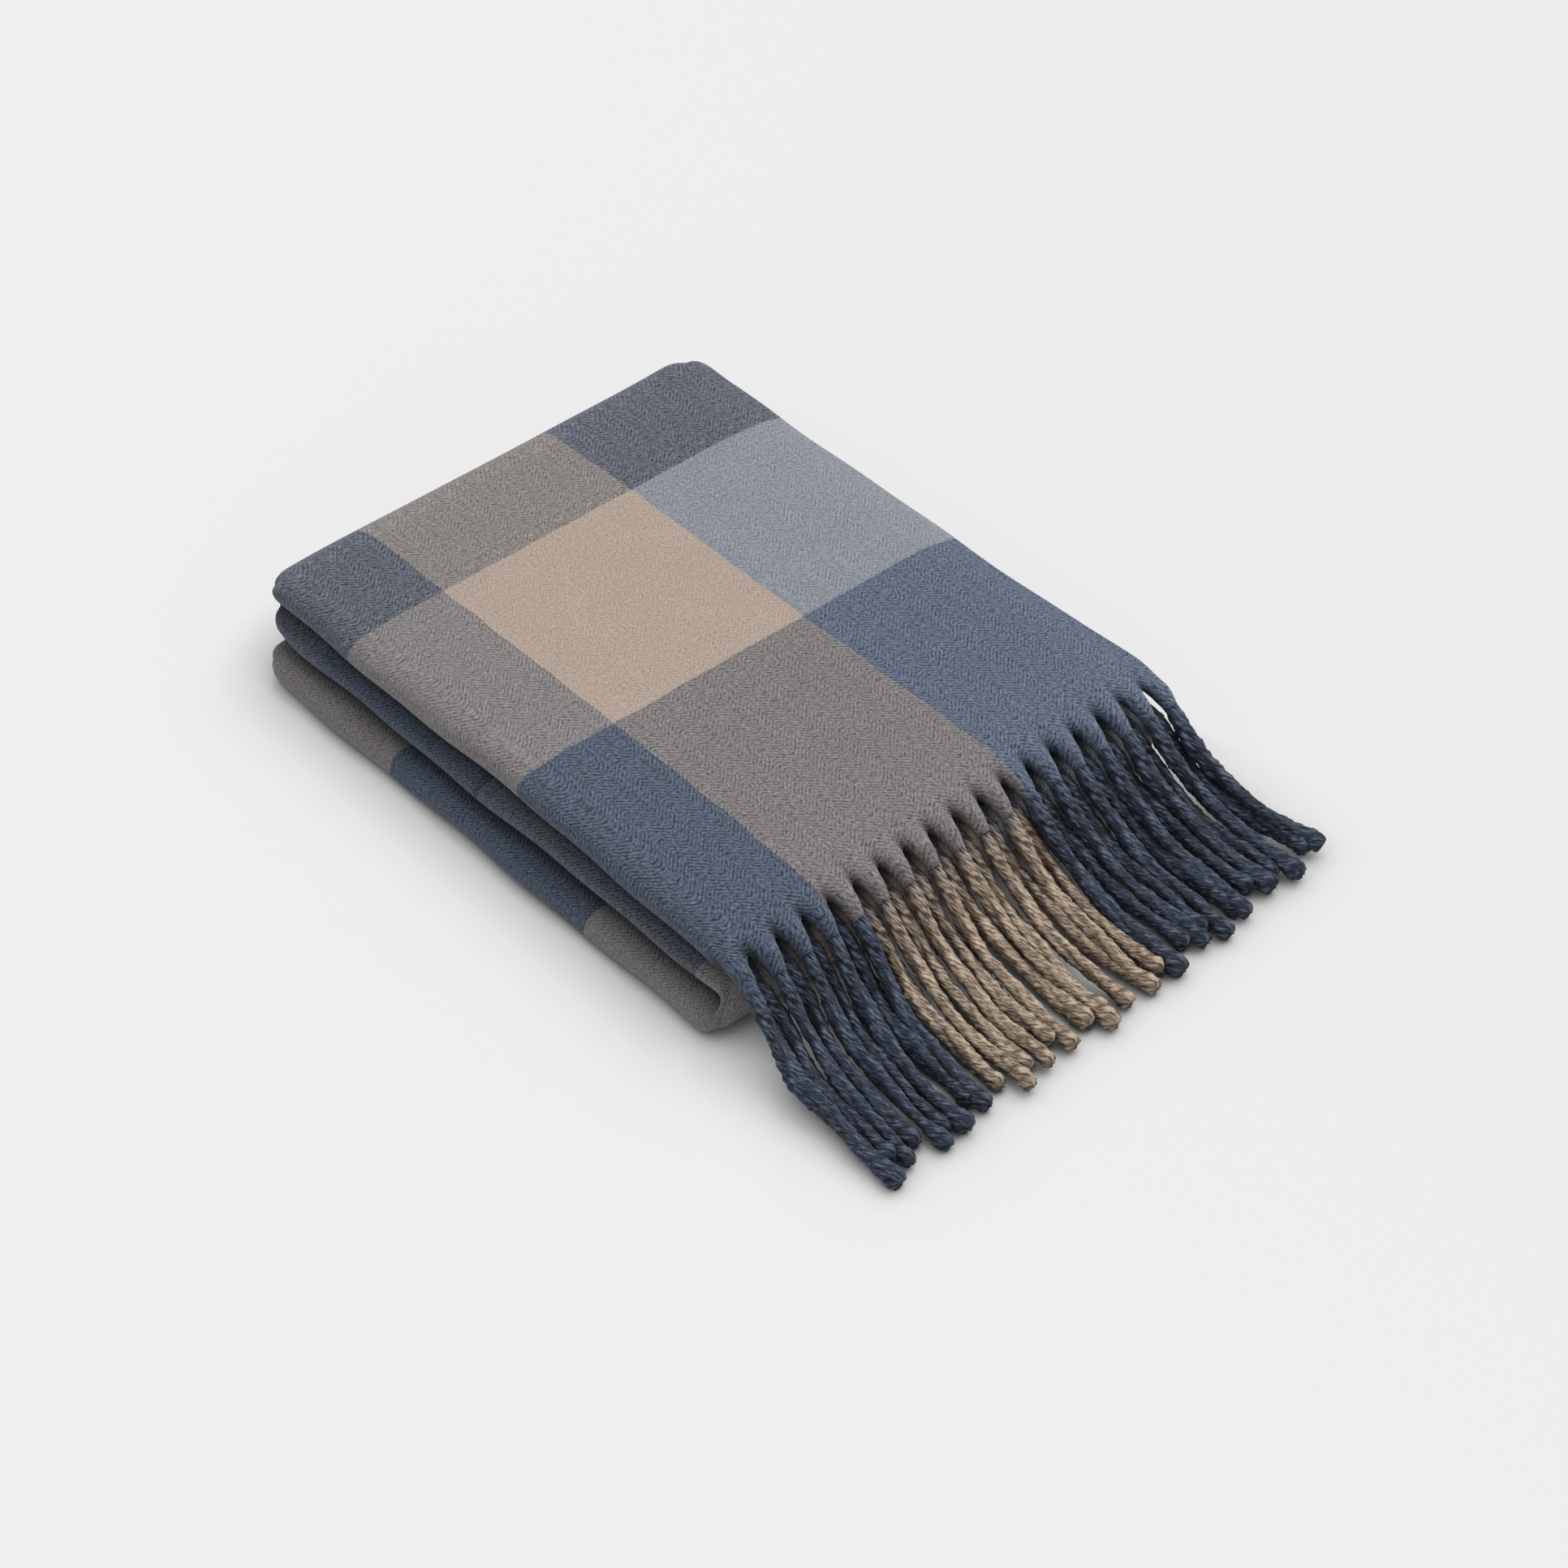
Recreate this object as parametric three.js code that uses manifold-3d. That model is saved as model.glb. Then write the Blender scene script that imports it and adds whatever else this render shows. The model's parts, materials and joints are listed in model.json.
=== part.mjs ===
// A woven throw blanket, folded into a flat packet that lies on a table with its fringe towards +X.
// Millimetres, +Z up. The origin is on the underside, at the middle of the packet.
//
// The 1270 x 1520 throw is folded in quarters along its length, and then in three across it, like a Z:
// the bottom layer turns up and over at the front end into the middle layer, and the middle layer turns
// up and over at the back end into the top layer, whose free end carries the fringe. The last fifth of
// the length is doubled back inside the bottom layer. Each layer is one soft solid of four plies.

import * as THREE from 'three';
import Module from 'manifold-3d';
import { mergeVertices } from 'three/addons/utils/BufferGeometryUtils.js';

// ---- Driving dimensions ----

const TOUCH_GAP = 0.3; // left between pieces that lie on each other
const BOTTOM_THICKNESS = 20;
const MIDDLE_THICKNESS = 18;
const TOP_THICKNESS = 22;
const FRONT_FOLD_Z = BOTTOM_THICKNESS; // the crease between the bottom and the middle layer
const BACK_FOLD_Z = FRONT_FOLD_Z + MIDDLE_THICKNESS; // the crease between the middle and the top layer
const BACK_FOLD_X = -206;
const FRONT_FOLD_X = 210;

const BOTTOM_BACK_X = -190; // the doubled end stops short of the back fold
const FRINGE_EDGE_X = 203; // where the top layer ends, half way across
const FRINGE_EDGE_SKEW = 18; // the fringe edge lies this much out of square over its width

const LAYER_SIDES = {
  bottom: { left: -177, right: 152 },
  middle: { left: -168, right: 155 },
  top: { left: -162, right: 161 },
};
const CORNER_RADIUS = 13; // seen from above
const DOUBLED_END_RADIUS = 8;
const ARC_SEGMENTS = 8;

const TASSEL_COUNT = 18; // on the uppermost ply
const TASSEL_PITCH = 18.8;
const TASSEL_RADIUS = 4;
const TASSEL_SIDES = 8;
const TASSEL_STEPS = 11;
const TASSEL_ROOT_Z = 52;
const TASSEL_ROOT_SAG = 5; // the outermost tassels hang this much lower, from the rolled sides
const TASSEL_ROOT_GAP = 2.2; // room at the roots for the fringe to swing
const TASSEL_FALL = 26; // distance from the edge in which a tassel loses half its height
const TASSEL_FALL_POWER = 1.75;
const LEFT_FALL_LOSS = 0.48; // the leftmost tassel falls this much more steeply
const RIGHT_FALL_GAIN = 0.6; // and the rightmost this much more gently
const TASSEL_RUN = { left: 131, lossToRight: 10 };
const TASSEL_DRIFT = { atMiddle: -6, perMillimetre: 0.066, reach: 110, reachAtLeft: 60 };
const RIGHT_LEAN = 9; // the rightmost tassel hangs this far inwards half way along

// The ply underneath has a tassel in each gap between two upper ones.
const UNDER_RADIUS = 3.5;
const UNDER_SHIFT = 1.5; // towards +Y from the middle of the gap
const UNDER_ROOT_Z = 44;
const UNDER_FALL = 21;
const UNDER_RUN_SHARE = 0.93;

// ---- Solids ----

const wasm = await Module();
wasm.setup();

function toSolid(geometry) {
  const bare = geometry.clone();
  bare.deleteAttribute('normal');
  bare.deleteAttribute('uv');
  const merged = mergeVertices(bare, 1e-4);
  return new wasm.Manifold(new wasm.Mesh({
    numProp: 3,
    vertProperties: new Float32Array(merged.attributes.position.array),
    triVerts: new Uint32Array(merged.index.array),
  }));
}

function toGeometry(solid) {
  const mesh = solid.getMesh();
  const geometry = new THREE.BufferGeometry();
  geometry.setAttribute('position', new THREE.BufferAttribute(mesh.vertProperties, 3));
  geometry.setIndex(new THREE.BufferAttribute(mesh.triVerts, 1));
  geometry.computeVertexNormals();
  return geometry;
}

function extrude(shape, depth) {
  return new THREE.ExtrudeGeometry(shape, {
    depth,
    bevelEnabled: false,
    curveSegments: ARC_SEGMENTS,
  });
}

// ---- Outlines of a layer, seen along each axis ----

// A slab's cross-section, with a round roll at each long side. Its plane is Y-Z.
function rolledSection({ left, right }, thickness) {
  const radius = thickness / 2;
  const shape = new THREE.Shape();
  shape.moveTo(left + radius, 0);
  shape.lineTo(right - radius, 0);
  shape.absarc(right - radius, radius, radius, -Math.PI / 2, Math.PI / 2);
  shape.lineTo(left + radius, thickness);
  shape.absarc(left + radius, radius, radius, Math.PI / 2, 1.5 * Math.PI);
  return shape;
}

// The outline from above, with round corners and the fringe edge out of square by skew. Its plane is X-Y.
function planOutline(back, front, { left, right }, skew = 0) {
  const r = CORNER_RADIUS;
  const frontLeft = front + skew / 2;
  const frontRight = front - skew / 2;
  const shape = new THREE.Shape();
  shape.moveTo(back + r, left);
  shape.lineTo(frontLeft - r / 2, left);
  shape.quadraticCurveTo(frontLeft, left, frontLeft, left + r / 2);
  shape.lineTo(frontRight, right - r / 2);
  shape.quadraticCurveTo(frontRight, right, frontRight - r / 2, right);
  shape.lineTo(back + r, right);
  shape.absarc(back + r, right - r, r, Math.PI / 2, Math.PI);
  shape.lineTo(back, left + r);
  shape.absarc(back + r, left + r, r, Math.PI, 1.5 * Math.PI);
  return shape;
}

// The bottom layer from the side: a low round at the doubled end, and half of the front fold. X-Z.
function bottomProfile(thickness) {
  const r = DOUBLED_END_RADIUS;
  const shape = new THREE.Shape();
  shape.moveTo(BOTTOM_BACK_X + r, 0);
  shape.lineTo(FRONT_FOLD_X - thickness, 0);
  shape.absarc(FRONT_FOLD_X - thickness, thickness, thickness, -Math.PI / 2, 0);
  shape.lineTo(BOTTOM_BACK_X + r, thickness);
  shape.absarc(BOTTOM_BACK_X + r, thickness - r, r, Math.PI / 2, Math.PI);
  shape.lineTo(BOTTOM_BACK_X, r);
  shape.absarc(BOTTOM_BACK_X + r, r, r, Math.PI, 1.5 * Math.PI);
  return shape;
}

// The middle layer from the side: half of the back fold below, and half of the front fold above. X-Z.
function middleProfile(thickness) {
  const shape = new THREE.Shape();
  shape.moveTo(BACK_FOLD_X + thickness, 0);
  shape.lineTo(FRONT_FOLD_X, 0);
  shape.absarc(FRONT_FOLD_X - thickness, 0, thickness, 0, Math.PI / 2);
  shape.lineTo(BACK_FOLD_X, thickness);
  shape.absarc(BACK_FOLD_X + thickness, thickness, thickness, Math.PI, 1.5 * Math.PI);
  return shape;
}

// The top layer from the side: half of the back fold, and a blunt edge under the fringe. X-Z.
function topProfile(thickness, front) {
  const shape = new THREE.Shape();
  shape.moveTo(BACK_FOLD_X, 0);
  shape.lineTo(front, 0);
  shape.lineTo(front, thickness);
  shape.lineTo(BACK_FOLD_X + thickness, thickness);
  shape.absarc(BACK_FOLD_X + thickness, 0, thickness, Math.PI / 2, Math.PI);
  return shape;
}

// A layer is the part that its section, its side profile and its plan have in common.
function layerGeometry(section, profile, plan, thickness) {
  const reach = 600;
  const along = toSolid(extrude(section, reach).rotateX(Math.PI / 2).rotateZ(Math.PI / 2)
    .translate(-reach / 2, 0, 0));
  const across = toSolid(extrude(profile, reach).rotateX(Math.PI / 2).translate(0, reach / 2, 0));
  const above = toSolid(extrude(plan, thickness + 2).translate(0, 0, -1));
  return toGeometry(along.intersect(across).intersect(above));
}

function clothMaterial(color) {
  return new THREE.MeshStandardMaterial({ color, roughness: 0.95, metalness: 0 });
}

function layerMesh(name, geometry, floorZ, color) {
  const mesh = new THREE.Mesh(geometry, clothMaterial(color));
  mesh.name = name;
  mesh.position.z = floorZ;
  return mesh;
}

function bottomLayer() {
  const thickness = BOTTOM_THICKNESS - TOUCH_GAP / 2;
  const plan = planOutline(BOTTOM_BACK_X, FRONT_FOLD_X, LAYER_SIDES.bottom);
  const section = rolledSection(LAYER_SIDES.bottom, thickness);
  const geometry = layerGeometry(section, bottomProfile(thickness), plan, thickness);
  return layerMesh('bottom_layer', geometry, 0, '#6d6f76');
}

function middleLayer() {
  const thickness = MIDDLE_THICKNESS - TOUCH_GAP;
  const plan = planOutline(BACK_FOLD_X, FRONT_FOLD_X, LAYER_SIDES.middle);
  const section = rolledSection(LAYER_SIDES.middle, thickness);
  const geometry = layerGeometry(section, middleProfile(thickness), plan, thickness);
  return layerMesh('middle_layer', geometry, FRONT_FOLD_Z + TOUCH_GAP / 2, '#5d6470');
}

function topLayer() {
  const thickness = TOP_THICKNESS - TOUCH_GAP / 2;
  const plan = planOutline(BACK_FOLD_X, FRINGE_EDGE_X, LAYER_SIDES.top, FRINGE_EDGE_SKEW);
  const section = rolledSection(LAYER_SIDES.top, thickness);
  const profile = topProfile(thickness, FRINGE_EDGE_X + FRINGE_EDGE_SKEW);
  const geometry = layerGeometry(section, profile, plan, thickness);
  return layerMesh('top_layer', geometry, BACK_FOLD_Z + TOUCH_GAP / 2, '#88868a');
}

// ---- Tassels ----

// A tassel's centre line: it leaves the edge level, falls to the floor and runs out along it.
class TasselCurve extends THREE.Curve {
  constructor({ run, drift, driftReach, lean, drop, fall }) {
    super();
    Object.assign(this, { run, drift, driftReach, lean, drop, fall });
  }

  getPoint(t, target = new THREE.Vector3()) {
    const x = this.run * t;
    const height = 1 / (1 + (x / this.fall) ** TASSEL_FALL_POWER);
    const drifted = this.drift * THREE.MathUtils.smoothstep(x, 0, this.driftReach);
    const inwards = this.lean * Math.sin(Math.PI * t);
    return target.set(x, drifted - inwards, this.drop * (height - 1));
  }
}

// Neighbouring tassels end at slightly different places.
function wander(number) {
  return Math.sin(2.3 * number);
}

function tasselMesh(name, y, number, { radius, rootZ, fall, runShare }) {
  const across = (y + LAYER_SIDES.top.right) / (LAYER_SIDES.top.right - LAYER_SIDES.top.left);
  const run = (TASSEL_RUN.left - TASSEL_RUN.lossToRight * across ** 4) * runShare + 3 * wander(number);
  const drift = TASSEL_DRIFT.atMiddle + TASSEL_DRIFT.perMillimetre * y;
  const driftReach = THREE.MathUtils.lerp(TASSEL_DRIFT.reach, TASSEL_DRIFT.reachAtLeft, (1 - across) ** 4);
  const lean = RIGHT_LEAN * across ** 16;
  const slope = 1 - LEFT_FALL_LOSS * (1 - across) ** 8 + RIGHT_FALL_GAIN * across ** 12;
  const sag = TASSEL_ROOT_SAG * Math.abs(2 * across - 1) ** 10;
  const height = rootZ - sag;
  const drop = height - radius;
  const curve = new TasselCurve({ run, drift, driftReach, lean, drop, fall: fall * slope });
  const ring = new THREE.Shape(Array.from({ length: TASSEL_SIDES }, (_, side) => {
    const angle = (side / TASSEL_SIDES) * 2 * Math.PI;
    return new THREE.Vector2(radius * Math.cos(angle), radius * Math.sin(angle));
  }));
  const geometry = new THREE.ExtrudeGeometry(ring, {
    steps: TASSEL_STEPS,
    bevelEnabled: false,
    extrudePath: curve,
  });
  const mesh = new THREE.Mesh(geometry, clothMaterial(tasselColor(y)));
  mesh.name = name;
  const edgeX = FRINGE_EDGE_X - FRINGE_EDGE_SKEW * (across - 0.5);
  mesh.position.set(edgeX + TASSEL_ROOT_GAP, y, height);
  return mesh;
}

// The tassels are the warp yarns, so each takes the colour of the stripe that it ends.
function tasselColor(y) {
  const tanFrom = -80;
  const tanTo = 40;
  return y > tanFrom && y < tanTo ? '#94887f' : '#4d5666';
}

function tasselY(number) {
  return TASSEL_PITCH * (number - (TASSEL_COUNT + 1) / 2);
}

function numbered(prefix, number) {
  return `${prefix}_${String(number).padStart(2, '0')}`;
}

function fringe() {
  const group = new THREE.Group();
  const upper = { radius: TASSEL_RADIUS, rootZ: TASSEL_ROOT_Z, fall: TASSEL_FALL, runShare: 1 };
  for (let number = 1; number <= TASSEL_COUNT; number += 1) {
    group.add(tasselMesh(numbered('tassel_upper', number), tasselY(number), number, upper));
  }
  const under = {
    radius: UNDER_RADIUS, rootZ: UNDER_ROOT_Z, fall: UNDER_FALL, runShare: UNDER_RUN_SHARE,
  };
  for (let number = 1; number < TASSEL_COUNT; number += 1) {
    const y = tasselY(number + 0.5) + UNDER_SHIFT;
    group.add(tasselMesh(numbered('tassel_under', number), y, number + 0.5, under));
  }
  return group;
}

// ---- The throw ----

const blanket = new THREE.Group();
blanket.add(bottomLayer());
blanket.add(middleLayer());
blanket.add(topLayer());
blanket.add(fringe());

export default blanket;
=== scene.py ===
"""A checked throw blanket with a twisted fringe, folded like a Z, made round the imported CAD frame.

The cloth is one sheet of 1.27 x 1.52 m. It is folded in quarters along its length, so that every layer has
four plies, and then in three across it. Each point of it has flat coordinates, u across the throw and v along
it from the fringed end, which give its place in the packet and its place in the weave.
Lengths are in millimetres up to the point where a mesh is made, and in metres in the materials.
"""

import json
import math

import bpy
import numpy as np
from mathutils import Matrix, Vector


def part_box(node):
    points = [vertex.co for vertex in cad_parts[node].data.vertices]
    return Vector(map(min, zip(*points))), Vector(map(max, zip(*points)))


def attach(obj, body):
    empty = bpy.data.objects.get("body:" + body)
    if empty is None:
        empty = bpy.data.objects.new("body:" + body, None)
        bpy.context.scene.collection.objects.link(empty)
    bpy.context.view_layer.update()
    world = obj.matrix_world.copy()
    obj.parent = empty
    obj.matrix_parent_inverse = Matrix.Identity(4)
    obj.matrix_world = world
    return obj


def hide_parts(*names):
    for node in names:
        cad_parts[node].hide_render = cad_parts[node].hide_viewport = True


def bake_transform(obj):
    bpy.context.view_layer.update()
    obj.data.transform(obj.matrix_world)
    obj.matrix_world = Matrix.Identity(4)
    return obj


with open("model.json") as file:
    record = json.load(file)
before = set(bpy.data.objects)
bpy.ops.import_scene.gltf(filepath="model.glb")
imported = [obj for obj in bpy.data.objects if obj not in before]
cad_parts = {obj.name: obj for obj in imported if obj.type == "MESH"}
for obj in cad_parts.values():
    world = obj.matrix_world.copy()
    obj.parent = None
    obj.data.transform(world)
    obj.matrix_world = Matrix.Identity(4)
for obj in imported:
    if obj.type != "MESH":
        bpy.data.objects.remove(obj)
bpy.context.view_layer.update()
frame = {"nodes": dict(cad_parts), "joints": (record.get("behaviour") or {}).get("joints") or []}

MM = 0.001
TINY = 1e-6

# ---- The sheet and how it is folded, in millimetres ----

CLOTH_WIDTH = 1270.0
CLOTH_LENGTH = 1520.0
CLOTH_THICKNESS = 1.7
PLIES = 4                   # in every layer
INNER_LEVEL = 1 / (PLIES - 1)   # of the two plies between the outer ones, which are at 1 and -1
CREASE_STEP = 1.75          # each inner ply's crease lies this far inside the next one out
CREASE_CLEARANCE = 1.6      # kept free above and below the level of a hinge line
OUTER_TURN = 17.0           # how far from its crease the outermost ply starts to turn
INNER_TURN = 3.5            # and the innermost

FRINGE_RECESS = (11.0, 15.0)    # how far behind the uppermost ply the next one and the lowest one stop
FRINGE_SKEW = 18.0          # the fringed edge is this much out of square over its width
SKEW_FROM = 20.0            # from this x on, the bands turn to follow it
FRINGE_FLARE = 0.03         # the top layer widens by this share towards it
FLARE_FROM = 60.0
FLARE_OVER = 140.0

# Half of the cloth in each lengthwise turn, and the share of the width by which the two long edges stop short
INNER_TURN_CLOTH = 6.0
RIGHT_TURN_CLOTH = 5.0
ROLL_CLOTH = 20.0
EDGE_SHARES = (0.03, 0.06)

# The rows and columns of the meshes
FLAT_STEP = 8.0
EDGE_ROWS = (0.0, 1.2, 2.6, 4.2, 6.2, 8.6, 11.6, 15.4, 20.0, 26.0)     # distances from the fringed edge
TURN_STEPS = 10
TASSELS = 18
CELL_COLUMNS = 10           # columns of the uppermost ply for each tassel
CELL_IN_TURN = 4            # as many of the first tassel's columns are in the right turn
CELL_IN_ROLL = 11           # and of the last ones' in the roll
UPPER_COLUMNS = TASSELS * CELL_COLUMNS - CELL_IN_TURN - CELL_IN_ROLL
OTHER_COLUMNS = 44
SMALL_TURN_COLUMNS = 8
ROLL_COLUMNS = 22
FIRST_CELL = 2 * (OTHER_COLUMNS + SMALL_TURN_COLUMNS) - CELL_IN_TURN    # the first tassel's first column

# Where the stretches of the sheet meet, as flat lengths from the fringed end
BACK_CREASE_V = 417.0
MIDDLE_V = 631.0            # at the middle layer's x = 0
FRONT_CREASE_V = 846.0
BOTTOM_V = 1063.0           # at the bottom layer's x = 0

# The doubled end: how far it lies from the ply that it turns back from, how much sooner the inner plies turn,
# and about how long it is
DOUBLED_STEP = 2.1
DOUBLED_SPREAD = 2.0
DOUBLED_RUN = 280.0
DOUBLED_TURN_ROWS = 7

# The warp stripes by u and the weft bands by v: where each ends, and its yarn
WARP_STRIPES = ((116, "blue"), (250, "tan"), (386, "navy"), (520, "tan"), (750, "blue"),
                (884, "tan"), (1020, "navy"), (1154, "tan"), (CLOTH_WIDTH, "blue"))
WEFT_BANDS = ((173.4, "denim"), (323.6, "beige"), (483, "slate"), (640, "denim"), (815, "slate"),
              (960, "beige"), (1131, "denim"), (1290, "beige"), (CLOTH_LENGTH, "slate"))

# The colour of the cloth where a warp yarn crosses a weft yarn
CELL_COLOURS = {
    ("navy", "slate"): (0.094, 0.105, 0.130),
    ("tan", "slate"): (0.210, 0.192, 0.179),
    ("blue", "slate"): (0.100, 0.109, 0.136),
    ("navy", "beige"): (0.202, 0.189, 0.184),
    ("tan", "beige"): (0.381, 0.302, 0.251),
    ("blue", "beige"): (0.225, 0.240, 0.271),
    ("navy", "denim"): (0.072, 0.093, 0.133),
    ("tan", "denim"): (0.185, 0.171, 0.167),
    ("blue", "denim"): (0.100, 0.124, 0.177),
}


class Layer:
    """One third of the packet, in the place of its CAD solid. flip is -1 where the strip lies upside down."""

    def __init__(self, node, flip, roll, clear_below, clear_above, left_inset=0.0):
        low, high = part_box(node)
        skin = CLOTH_THICKNESS / 2
        self.back = low.x / MM + skin
        self.front = high.x / MM - skin
        self.left = low.y / MM + skin + left_inset
        self.right = high.y / MM - skin
        lowest = low.z / MM + clear_below + skin
        highest = high.z / MM - clear_above - skin
        self.middle = (lowest + highest) / 2
        self.half = flip * (highest - lowest) / 2
        self.roll = roll

    def level(self, s):
        """A ply's height. s is 1 on the side of the strip that is up in the top layer, -1 on the other."""
        return self.middle + s * self.half


TOP = Layer("top_layer", flip=1, roll=17.0, clear_below=CREASE_CLEARANCE, clear_above=0.0)
MIDDLE = Layer("middle_layer", flip=-1, roll=20.0, clear_below=CREASE_CLEARANCE, clear_above=CREASE_CLEARANCE,
               left_inset=1.8)
BOTTOM = Layer("bottom_layer", flip=1, roll=11.0, clear_below=0.2, clear_above=CREASE_CLEARANCE)


def joint_point(name):
    found = next(j for j in frame["joints"] if j["name"] == name)
    return np.array(found["pos_m"]) / MM


BACK_CREASE = joint_point("back_fold")
FRONT_CREASE = joint_point("front_fold")
FRINGE_EDGE = joint_point("fringe_swing")


def smooth(t):
    t = np.clip(t, 0, 1)
    return t * t * (3 - 2 * t)


def mix(a, b, t):
    return a + (b - a) * t


RIPPLE_WAVES = 6
RIPPLE_STRETCH = (0.7, 1.5)     # of each wave's length
RIPPLE_DIVISOR = 4              # brings the sum of the waves down to about 1


def ripple(x, y, wavelength, seed):
    """Soft unevenness, mostly from -1 to 1, as a sum of waves in all directions."""
    random = np.random.default_rng(seed)
    angles = random.uniform(0, math.pi, RIPPLE_WAVES)
    phases = random.uniform(0, 2 * math.pi, RIPPLE_WAVES)
    stretches = random.uniform(*RIPPLE_STRETCH, RIPPLE_WAVES)
    total = 0
    for angle, phase, stretch in zip(angles, phases, stretches):
        along = x * math.cos(angle) + y * math.sin(angle)
        total = total + np.cos(2 * math.pi * along / (wavelength * stretch) + phase)
    return total / RIPPLE_DIVISOR


# ---- Across the strip ----

FULLNESS = 0.82         # below 1, a turn is fuller than a half ellipse
INNER_ROLL = 4.0        # how far the turn between the two inner plies reaches out
INNER_ROLL_GAP = 5.0    # and how far it stays inside the roll


class Columns:
    """The lines of cloth that run along the strip, in the order of u: the free edge, ply C, the inner turn,
    ply B, the right turn, ply A on the upper face, the outer roll on the left, and ply D down below.

    s is a column's level in the strip, share its way across from right (0) to left (1), bulge how far out it
    is in a turn, and inner marks the two plies inside the roll.
    """

    def __init__(self, upper_count):
        self.u, self.s, self.share, self.bulge, self.inner = [], [], [], [], []
        quarter = CLOTH_WIDTH / PLIES
        inner_turn = (quarter - INNER_TURN_CLOTH, quarter + INNER_TURN_CLOTH)
        right_turn = (2 * quarter - RIGHT_TURN_CLOTH, 2 * quarter + RIGHT_TURN_CLOTH)
        roll = (3 * quarter - ROLL_CLOTH, 3 * quarter + ROLL_CLOTH)
        level = INNER_LEVEL
        self.run(0, inner_turn[0], -level, (EDGE_SHARES[0], 1), OTHER_COLUMNS, inner=True, first=True)
        self.turn(*inner_turn, (0, -level), 1, SMALL_TURN_COLUMNS, inner=True)
        self.run(inner_turn[1], right_turn[0], level, (1, 0), OTHER_COLUMNS, inner=True)
        self.turn(*right_turn, (2 * level, -level), 0, SMALL_TURN_COLUMNS)
        self.run(right_turn[1], roll[0], 1, (0, 1), upper_count)
        self.turn(*roll, (0, 1), 1, ROLL_COLUMNS)
        self.run(roll[1], CLOTH_WIDTH, -1, (1, EDGE_SHARES[1]), OTHER_COLUMNS)
        for name in ("u", "s", "share", "bulge", "inner"):
            setattr(self, name, np.array(getattr(self, name), float)[None, :])

    def add(self, u, s, share, bulge, inner):
        for kept, value in zip((self.u, self.s, self.share, self.bulge, self.inner),
                               (u, s, share, bulge, inner)):
            kept.append(value)

    def run(self, u0, u1, s, shares, count, inner=False, first=False):
        for i in range(0 if first else 1, count + 1):
            t = i / count
            self.add(u0 + (u1 - u0) * t, s, shares[0] + (shares[1] - shares[0]) * t, 0, inner)

    def turn(self, u0, u1, levels, share, count, inner=False):
        for i in range(1, count + 1):
            angle = math.pi * i / count
            out = math.sin(angle) ** FULLNESS if i < count else 0
            rise = math.copysign(abs(math.cos(angle)) ** FULLNESS, math.cos(angle))
            self.add(u0 + (u1 - u0) * i / count, levels[0] + levels[1] * rise, share,
                     out if share else -out, inner)

    def across(self, layer):
        """The columns' y in a layer."""
        left_roll = np.where(self.inner > 0, INNER_ROLL, layer.roll)
        left = layer.left + left_roll + np.where(self.inner > 0, INNER_ROLL_GAP, 0.0)
        right_turn = abs(layer.half) / (PLIES - 1)
        right = layer.right - right_turn
        y = right + (left - right) * self.share
        return y - np.where(self.bulge > 0, left_roll, right_turn) * self.bulge


# ---- Along the strip ----

BACK_CORNERS = (17.0, 22.0)     # the packet's corner radii on the left and on the right
FRONT_CORNERS = (11.0, 18.0)
CREASE_GAP = CLOTH_THICKNESS / 2 + 0.3      # from a hinge line to the middle of the outermost ply
BACK_TUCK = 4.0         # the back crease lies this far inside the roll above it
FOLD_BULGE = 7.0        # how far the upper half of the back fold bulges
FOLD_POWER = 0.9        # below 1, a fold is fuller than a half ellipse
SIDE_FROM = 110.0       # past this distance from the middle, a point starts to belong to a side

# How much narrower the packet is on the left at the back crease, at which angle of the turn, over what angle
# and what width, and the share of it on the right
WAIST = dict(depth=3.0, angle=1.75, spread=0.4, over=50.0, right=0.4)


def crease_inset(s, outermost):
    """How far inside the outermost ply's crease a ply has its own."""
    return (1 - s * outermost) / 2 * (PLIES - 1) * CREASE_STEP


def turn_reach(s, outermost):
    """How far from its crease a ply starts to turn."""
    return INNER_TURN + (OUTER_TURN - INNER_TURN) * (1 + s * outermost) / 2


class Rows:
    """Collects stretches of the strip. Each has x, y and z of its rows, their flat v, and the corners that
    it is rounded at."""

    def __init__(self, columns):
        self.columns = columns
        self.parts = []

    def add(self, x, y, z, v, corners):
        shape = np.broadcast_shapes(np.shape(x), np.shape(y), np.shape(z), np.shape(v), self.columns.u.shape)
        x, y, z, v = (np.array(np.broadcast_to(a, shape), float) for a in (x, y, z, v))
        round_corners(x, y, corners)
        self.parts.append((x, y, z, v))

    def grid(self):
        """x, y, z and v of all rows. The row that two stretches share is there only once."""
        kept = [self.parts[0]] + [tuple(a[1:] for a in part) for part in self.parts[1:]]
        return [np.concatenate([part[i] for part in kept]) for i in range(4)]


def round_corners(x, y, corners):
    """Rounds the packet's corners as seen from above, by drawing what is near a corner in towards it.

    A corner is its x and y, the directions inwards from it, and its radius."""
    for x_edge, y_edge, x_in, y_in, radius in corners:
        p = np.clip(1 - (x - x_edge) * x_in / radius, 0, None)
        q = np.clip(1 - (y - y_edge) * y_in / radius, 0, None)
        inside = (p > 0) & (q > 0)
        squeeze = np.where(inside, np.maximum(p, q) / np.maximum(np.hypot(p, q), TINY), 1)
        x[:] = np.where(inside, x_edge + x_in * radius * (1 - p * squeeze), x)
        y[:] = np.where(inside, y_edge + y_in * radius * (1 - q * squeeze), y)


def corners_of(layer, left_radius, right_radius, back=True, front=False):
    found = []
    for wanted, x_edge, x_in in ((back, layer.back, 1), (front, layer.front, -1)):
        if wanted:
            found.append((x_edge, layer.left, x_in, 1, left_radius))
            found.append((x_edge, layer.right, x_in, -1, right_radius))
    return found


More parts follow.
